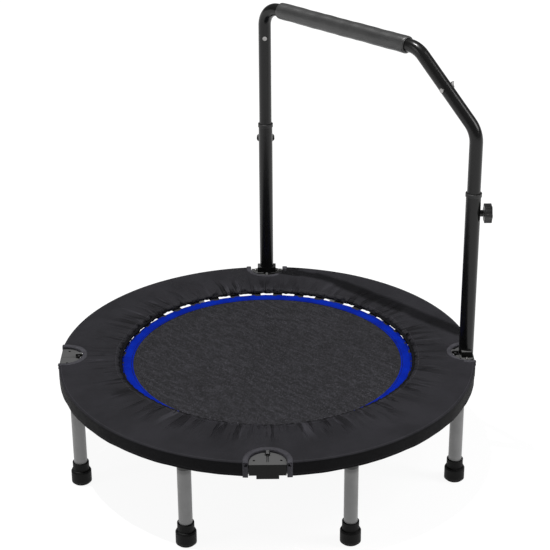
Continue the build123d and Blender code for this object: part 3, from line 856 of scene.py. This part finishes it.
def make_notch_bindings(tape):
    """Tape folded over the cut edge: 11 mm on top, 8 mm underneath."""
    high, low = pad_top + 0.0004, pad_bottom - 0.0003
    section = [
        (0.0110, high - 0.0002),
        (0.0060, high + 0.0001),
        (0.0010, high + 0.0001),
        (-0.0010, high - 0.0004),
        (-0.0014, high - 0.0030),
        (-0.0014, low + 0.0030),
        (-0.0009, low),
        (0.0010, low - 0.0006),
        (0.0080, low - 0.0006),
        (0.0080, low + 0.0002),
        (0.0006, low + 0.0004),
        (-0.0002, low + 0.0020),
        (-0.0002, high - 0.0024),
        (0.0008, high - 0.0010),
        (0.0110, high - 0.0010),
    ]
    for name, angle, body in (
        ("right", 0, None),
        ("rear", math.pi / 2, "rear_half"),
        ("left", math.pi, None),
        ("front", -math.pi / 2, "front_half"),
    ):
        loops = []
        for count, (x, y, way_x, way_y) in enumerate(notch_path()):
            ripple = 0.00012 * math.sin(count * 0.9 + angle) + 0.0001 * math.sin(count * 2.1)
            loops.append(
                [(x + way_x * n, y + way_y * n, z + ripple * (n > 0.0005)) for n, z in section]
            )
        shell = Shell()
        shell.swept(turned(np.array(loops), angle))
        binding = shell.piece(f"notch_binding_{name}", tape, "pad_cover")
        if body:
            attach(binding, body)
        else:
            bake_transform(binding)


def make_skirt_bindings(tape):
    """Tape folded over the skirt's ends, a little longer than the skirt."""
    out = ring_radius + 0.0005
    inside = ring_radius - 0.0037
    section = [
        (out, 0.0110),
        (out + 0.0002, 0.0050),
        (out, 0.0),
        (out - 0.0012, -0.0010),
        (inside + 0.0012, -0.0010),
        (inside, 0.0),
        (inside, 0.0100),
        (inside + 0.0007, 0.0100),
        (inside + 0.0008, 0.0006),
        (out - 0.0008, 0.0006),
        (out - 0.0006, 0.0110),
    ]
    heights = np.linspace(pad_top + 0.0002, skirt_bottom - 0.0022, 18)
    for half, quarters in halves.items():
        shell = Shell()
        for quarter in quarters:
            start = quarter * math.pi / 2 + notch_corner
            end = (quarter + 1) * math.pi / 2 - notch_corner
            for edge, way in ((start, 1), (end, -1)):
                loops = []
                for z in heights:
                    ring = []
                    for r, reach in section:
                        a = edge + way * reach / ring_radius
                        ring.append((r * math.cos(a), r * math.sin(a), z))
                    loops.append(ring)
                shell.swept(np.array(loops))
        strips = shell.piece(f"skirt_binding_{half}", tape, "pad_cover")
        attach(strips, f"{half}_half")


# ------------------------------------------------------------------ jumping mat
def fold_steps(reach, half_width, fine, coarse):
    """Angles from -90 to +90 degrees whose sines crowd together near zero."""
    inner = math.asin(half_width / reach)
    close = np.linspace(-inner, inner, fine)
    outer = np.linspace(inner, math.pi / 2, coarse)[1:]
    return np.concatenate([-outer[::-1], close, outer])


def make_mat(mesh):
    """The mat's two faces and rim, with rows close together where it folds."""
    reach = border_radius
    fold_half, mat_thickness = 0.024, 0.001
    rows = fold_steps(reach, fold_half, 25, 56)
    columns = fold_steps(reach, fold_half, 3, 44)
    top = []
    for row in rows:
        y = reach * math.sin(row)
        half = reach * max(math.cos(row), 0.004)
        top.append([(half * math.sin(c), y, mat_top) for c in columns])
    top = np.array(top)
    under = top[::-1].copy()
    under[..., 2] = mat_top - mat_thickness
    shell = Shell()
    shell.grid(top, False, False)
    shell.grid(under, False, False)
    rim_top = np.concatenate([top[0], top[1:, -1], top[-1, ::-1][1:], top[-2:0:-1, 0]])
    rim_low = rim_top.copy()
    rim_low[:, 2] = mat_top - mat_thickness
    shell.grid(np.array([rim_top, rim_low]), False, True)
    mat = shell.piece("jumping_mat", mesh, "mat_mesh")
    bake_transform(mat)
    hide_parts("mat_rear", "mat_front")
    return mat


def make_border(webbing):
    """The sewn border, a band with soft edges that lies on the mat's rim."""
    fine = math.radians(4.2)
    quarter = np.concatenate(
        [np.linspace(-fine, fine, 30), np.linspace(fine, math.pi - fine, 130)[1:-1]]
    )
    angles = np.concatenate([quarter, quarter + math.pi])
    inner, outer = border_radius - border_width, border_radius
    low = mat_top + 0.0001
    section = [
        (inner, low),
        (inner + 0.0002, border_top - 0.0003),
        (inner + 0.0012, border_top),
        (inner + 0.0040, border_top - 0.0001),
        (inner + 0.0090, border_top + 0.0001),
        (outer - 0.0090, border_top + 0.0001),
        (outer - 0.0040, border_top - 0.0001),
        (outer - 0.0010, border_top),
        (outer + 0.0004, border_top - 0.0004),
        (outer + 0.0004, low),
    ]
    loops = []
    for angle in angles:
        puff = 0.0002 * math.sin(angle * 57) + 0.00015 * math.sin(angle * 131 + 1)
        loops.append(
            [
                (r * math.cos(angle), r * math.sin(angle), z + puff * (z > low + 0.0002))
                for r, z in section
            ]
        )
    shell = Shell()
    shell.grid(np.array(loops), True, True)
    border = shell.piece("mat_border", webbing, "mat_border")
    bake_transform(border)
    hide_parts("mat_border_rear", "mat_border_front")
    return border


def loop_section():
    """A webbing loop seen from its side: out over the ring, round it and back under the mat."""
    wire, thick = 0.0017, 0.0013
    turn = np.linspace(math.radians(125), math.radians(-125), 15)

    def around(radius):
        return [(webbing_radius + radius * math.cos(a), radius * math.sin(a)) for a in turn]

    start = border_radius - 0.006
    top, low = 0.0014, -0.0020
    return (
        [(start, top), (border_radius + 0.003, top + 0.0002)]
        + around(wire + thick)
        + [(border_radius + 0.003, low - 0.0004), (start, low)]
        + [(start, low + thick), (border_radius + 0.004, low + thick)]
        + around(wire)[::-1]
        + [(border_radius + 0.004, top - thick + 0.0004), (start, top - thick)]
    )


def make_webbing_loops(webbing):
    pitch = 2 * math.pi / spring_count
    section = np.array(loop_section())
    widths = np.array([-0.012, -0.0115, -0.006, 0, 0.006, 0.0115, 0.012])
    squeeze = np.array([0.75, 1, 1, 1, 1, 1, 0.75])
    middle = section.mean(0)
    for half, (first_quarter, _) in halves.items():
        shell = Shell()
        first = first_quarter * spring_count // 4
        for number in range(first, first + spring_count // 2):
            loops = []
            for width, small in zip(widths, squeeze):
                shape = middle + (section - middle) * (1, small)
                loops.append([(r, width, webbing_z + z) for r, z in shape])
            shell.swept(turned(np.array(loops), (number + 0.5) * pitch))
        loops_piece = shell.piece(f"webbing_loops_{half}", webbing, "mat_mesh")
        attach(loops_piece, f"{half}_half")


def spring_path():
    """One extension spring's wire at +X: hook round the ring, close coils, straight tail."""
    drop = math.atan2(webbing_z - frame_z, frame_inner - webbing_radius)
    run = math.hypot(webbing_z - frame_z, frame_inner - webbing_radius)
    ring_end, ring_wire = 0.0205, 0.0019
    eye, coil, coil_pitch, steps_each_turn = 0.0047, 0.0039, 0.00235, 12
    eye_x = ring_end + eye - spring_wire - ring_wire
    start, end = eye_x + eye + 0.002, run - 0.008
    hook = [
        (eye_x - eye * math.cos(a), 0, -eye * math.sin(a))
        for a in np.linspace(math.radians(20), math.radians(160), 16)
    ]
    lead = [(eye_x + eye + 0.0006, 0.0012, coil * 0.7)]
    steps = int((end - start) / coil_pitch) * steps_each_turn
    helix = []
    for i in range(steps + 1):
        turn = 2 * math.pi * i / steps_each_turn
        along = start + (end - start) * i / steps
        helix.append((along, coil * math.sin(turn), coil * math.cos(turn)))
    tail = [(end + 0.0025, 0.0, coil * 0.45), (end + 0.005, 0.0, 0.0004)]
    tail += [(end + 0.0075, 0.0, 0.0), (run + 0.0045, 0.0, 0.0)]
    path = np.array(hook + lead + helix + tail)
    c, s = math.cos(drop), math.sin(drop)
    x = webbing_radius + path[:, 0] * c + path[:, 2] * s
    z = webbing_z - path[:, 0] * s + path[:, 2] * c
    return np.stack([x, path[:, 1], z], 1)


def make_springs(steel):
    pitch = 2 * math.pi / spring_count
    wire = tube(spring_path(), spring_wire, 6)
    for half, (first_quarter, _) in halves.items():
        shell = Shell()
        first = first_quarter * spring_count // 4
        for number in range(first, first + spring_count // 2):
            shell.swept(turned(wire, (number + 0.5) * pitch))
        coils = shell.piece(f"coil_springs_{half}", steel, "zinc_steel")
        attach(coils, f"{half}_half")
        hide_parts(f"springs_{half}")


# ------------------------------------------------------------------ foam grip
def make_foam_grip(foam):
    """The sleeve along the handrail, from the rear upright towards the right one."""
    low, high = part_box("foam_grip")
    reach, bore_radius, lip_radius = 0.02125, 0.01615, 0.003
    middle_z = (low.z + high.z) / 2
    across = reach * math.sqrt(0.5)
    start = np.array([low.x + across, high.y - across, middle_z])
    end = np.array([high.x - across, low.y + across, middle_z])
    along = (end - start) / np.linalg.norm(end - start)
    side = np.array([0.0, 0.0, 1.0])
    other = np.cross(along, side)
    length = np.linalg.norm(end - start)
    lengths = [0, 0.0004, 0.0016, 0.004] + list(np.linspace(0.01, length - 0.01, 90))
    lengths += [length - 0.004, length - 0.0016, length - 0.0004, length]
    turn = np.linspace(0, 2 * math.pi, 48, endpoint=False)
    way_out = np.cos(turn)[:, None] * side + np.sin(turn)[:, None] * other
    phases = rng.uniform(0, 2 * math.pi, 6)
    outside, bore = [], []
    for distance in lengths:
        from_end = min(distance, length - distance)
        lip = rounded(from_end, lip_radius)
        wave = 0.00022 * (
            np.sin(distance * 55 + phases[0] + turn)
            + np.sin(distance * 130 + phases[1] + 2 * turn)
            + 0.7 * np.sin(distance * 23 + phases[2] + 3 * turn)
        )
        radius = reach - 0.0003 - lip + wave
        centre = start + along * distance
        outside.append(centre + radius[:, None] * way_out)
        bore.append(centre + bore_radius * way_out)
    shell = Shell()
    shell.grid(np.concatenate([outside, bore[::-1]]), True, True)
    grip = shell.piece("foam_sleeve", foam, "foam_rubber")
    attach(grip, "handrail_top")
    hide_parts("foam_grip")


# ------------------------------------------------------------------ finishes
pad_cloth = make_pad_cloth()
shaded_skirt_cloth = make_skirt_cloth()
binding_tape = make_binding_tape()
mat_mesh = make_mat_mesh()
border_webbing = make_border_webbing()
black_webbing = make_black_webbing()
rail_paint = powder_coat("rail_paint", 0.0045, 0.25, peel=0.25, specular=0.34)
frame_paint = powder_coat("frame_paint", 0.018, 0.42)
leg_paint = make_leg_paint()
foot_rubber = make_foot_rubber()
zinc_wire = plated_steel("zinc_wire", 0.6, 0.32, 0.0)
bright_fastener = plated_steel("bright_fastener", 0.36, 0.25, 0.01)
bracket_paint = make_bracket_paint()
grip_foam = make_foam()
moulded_plastic = make_moulded_plastic()

carried_over = {
    "frame_tube": frame_paint,
    "leg_spigots": frame_paint,
    "leg_": leg_paint,
    "foot_": foot_rubber,
    "hinge_leaf": bracket_paint,
    "hinge_pin": bright_fastener,
    "triangle_rings": zinc_wire,
    "saddle_": bracket_paint,
    "saddle_screws": bright_fastener,
    "lower_upright": rail_paint,
    "upper_upright": rail_paint,
    "top_bar": rail_paint,
    "clamp_bosses": rail_paint,
    "upright_bush": moulded_plastic,
    "clamp_knob": moulded_plastic,
    "clamp_screw": bright_fastener,
    "joint_bolts": bright_fastener,
    "joint_nuts": bright_fastener,
}
for node_name, node in nodes.items():
    fitting = [start for start in carried_over if node_name.startswith(start)]
    if fitting:
        finish = carried_over[max(fitting, key=len)]
        node.data.materials.clear()
        node.data.materials.append(finish.material)

# ------------------------------------------------------------------ soft and woven pieces
make_pad_cover(pad_cloth)
make_hem_casing(shaded_skirt_cloth)
make_slit_filler(bracket_paint)
make_skirts(shaded_skirt_cloth)
make_notch_bindings(binding_tape)
make_skirt_bindings(binding_tape)
mat = make_mat(mat_mesh)
border = make_border(border_webbing)
make_webbing_loops(black_webbing)
make_springs(zinc_wire)
make_foam_grip(grip_foam)


# ------------------------------------------------------------------ studio
def make_camera():
    place = (0.00703, -3.54956, 2.127735)
    pitch, yaw, roll = 0.439607, 0.003813, -0.006274
    ahead = np.array(
        [math.sin(yaw) * math.cos(pitch), math.cos(yaw) * math.cos(pitch), -math.sin(pitch)]
    )
    right = np.array([math.cos(yaw), -math.sin(yaw), 0.0])
    up = np.cross(right, ahead)
    level_right = math.cos(roll) * right + math.sin(roll) * up
    level_up = -math.sin(roll) * right + math.cos(roll) * up
    data = bpy.data.cameras.new("camera")
    data.sensor_width = 36.0
    data.lens = 107.03
    data.clip_end = 200.0
    camera = bpy.data.objects.new("camera", data)
    bpy.context.scene.collection.objects.link(camera)
    turn = Matrix([level_right, level_up, -ahead]).transposed().to_4x4()
    camera.matrix_world = Matrix.Translation(place) @ turn
    bpy.context.scene.camera = camera


def make_light(name, place, target, size, power):
    data = bpy.data.lights.new(name, "AREA")
    data.shape = "RECTANGLE"
    data.size, data.size_y = size
    data.energy = power
    light = bpy.data.objects.new(name, data)
    bpy.context.scene.collection.objects.link(light)
    light.location = place
    way = Vector(target) - Vector(place)
    light.rotation_euler = way.to_track_quat("-Z", "Y").to_euler()


def make_sun(name, way, strength):
    data = bpy.data.lights.new(name, "SUN")
    data.energy = strength
    data.angle = math.radians(1.2)
    sun = bpy.data.objects.new(name, data)
    bpy.context.scene.collection.objects.link(sun)
    sun.rotation_euler = Vector(way).to_track_quat("-Z", "Y").to_euler()


def make_floor():
    """A matt floor that glows nearly white, so that only a faint shadow shows on it."""
    floor_finish = Finish("studio_floor", grey(0.12), 0.9, specular=0.0)
    floor_finish.set(**{"Emission Color": (1, 1, 1, 1), "Emission Strength": 0.93})
    side = 60.0
    points = [(-side, -side, 0), (side, -side, 0), (side, side, 0), (-side, side, 0)]
    floor = new_piece("studio_floor", points, [(0, 1, 2, 3)], floor_finish)
    floor.location.z = -0.0005


def make_world():
    world = bpy.data.worlds.new("studio")
    world.use_nodes = True
    world.node_tree.nodes["Background"].inputs["Color"].default_value = (1, 1, 1, 1)
    world.node_tree.nodes["Background"].inputs["Strength"].default_value = 0.19
    bpy.context.scene.world = world


make_camera()
make_floor()
make_world()
make_sun("key_light", (0.155, -0.05, -0.735), 3.1)
make_light("overhead_softbox", (0.3, 0.4, 3.4), (0.0, 0.0, 0.2), (1.2, 1.2), 4.0)
make_light("right_softbox", (2.4, -0.6, 2.6), (0.4, 0.3, 0.8), (0.9, 1.8), 45.0)
make_light("left_softbox", (-2.6, -1.2, 2.0), (0.0, 0.0, 0.6), (0.8, 1.6), 10.0)
bpy.context.scene.view_settings.view_transform = "Standard"
